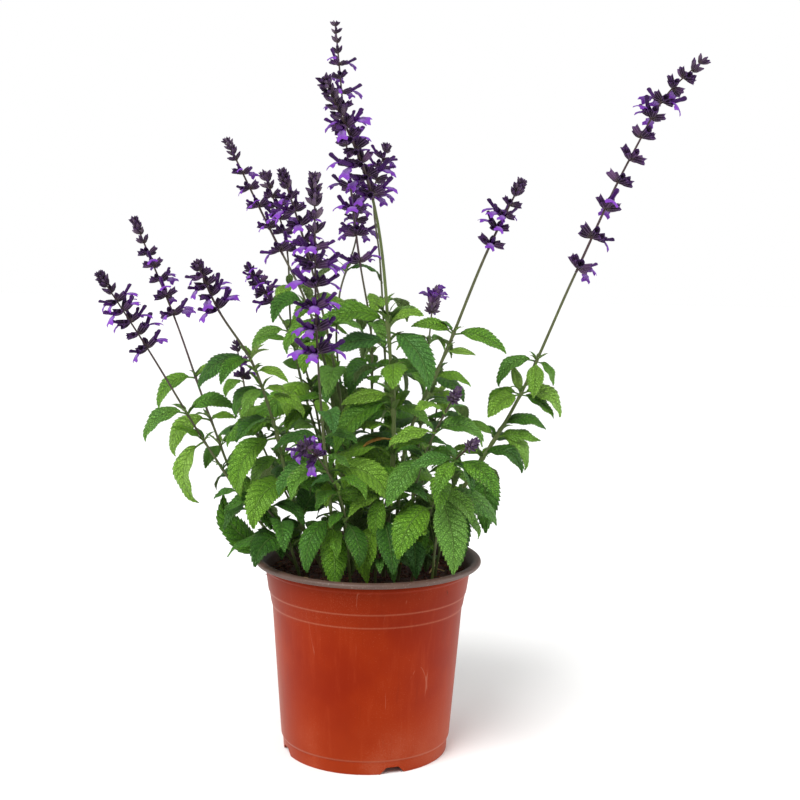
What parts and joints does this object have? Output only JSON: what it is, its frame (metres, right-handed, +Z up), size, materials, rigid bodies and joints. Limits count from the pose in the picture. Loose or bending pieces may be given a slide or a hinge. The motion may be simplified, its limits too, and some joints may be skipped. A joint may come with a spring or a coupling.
{
  "type": "potted perennial salvia",
  "caption": "Perennial salvia in flower in a round nursery pot: a clump of leafy stems with toothed leaves, each ending in an upright spike of violet two-lipped flowers.",
  "frame": {"origin": "middle of the flat pad under the pot, on the plane that the pot stands on", "axes": "+Z up; the longest spike leans over towards +X, and -Y is the front, from which that spike leans to the right"},
  "size_m": [0.497, 0.2683, 0.6169],
  "materials": {
    "pot": "satin",
    "potting_mix": "matte",
    "foliage": "satin",
    "flowers": "matte"
  },
  "bodies": {
    "root": {"pot": "pot", "potting_mix": "potting_mix", "leafy_stem_far_left": "foliage", "flower_spike_far_left": "flowers", "leafy_stem_left": "foliage", "flower_spike_left": "flowers", "leafy_stem_far_right": "foliage", "flower_spike_far_right": "flowers", "leafy_stem_right": "foliage", "flower_spike_right": "flowers", "leafy_stem_front": "foliage", "flower_spike_front": "flowers", "leafy_stem_tall_front": "foliage", "flower_spike_tall_front": "flowers", "leafy_stem_tall_back": "foliage", "flower_spike_tall_back": "flowers", "leafy_stem_inner_left": "foliage", "flower_spike_inner_left": "flowers", "leafy_stem_low_right": "foliage", "flower_spike_low_right": "flowers", "leafy_stem_mid_left": "foliage", "flower_spike_mid_left": "flowers", "leafy_stem_back_left": "foliage", "flower_spike_back_left": "flowers", "leafy_stem_back_inner": "foliage", "flower_spike_back_inner": "flowers", "leafy_stem_inner": "foliage", "flower_spike_inner": "flowers", "leafy_stem_back_right": "foliage", "flower_spike_back_right": "flowers", "leafy_stem_back": "foliage", "flower_spike_back": "flowers", "leafy_stem_bud_right": "foliage", "flower_spike_bud_right": "flowers", "leafy_stem_bud_back": "foliage", "flower_spike_bud_back": "flowers", "leafy_stem_bud_front": "foliage", "flower_spike_bud_front": "flowers", "leafy_stem_back_far_left": "foliage", "flower_spike_back_far_left": "flowers", "leafy_stem_shoot_left": "foliage", "leafy_stem_shoot_right": "foliage", "leafy_stem_shoot_front": "foliage", "leafy_stem_shoot_front_right": "foliage", "leafy_stem_shoot_back": "foliage", "leafy_stem_shoot_back_left": "foliage"}
  },
  "joints": []
}
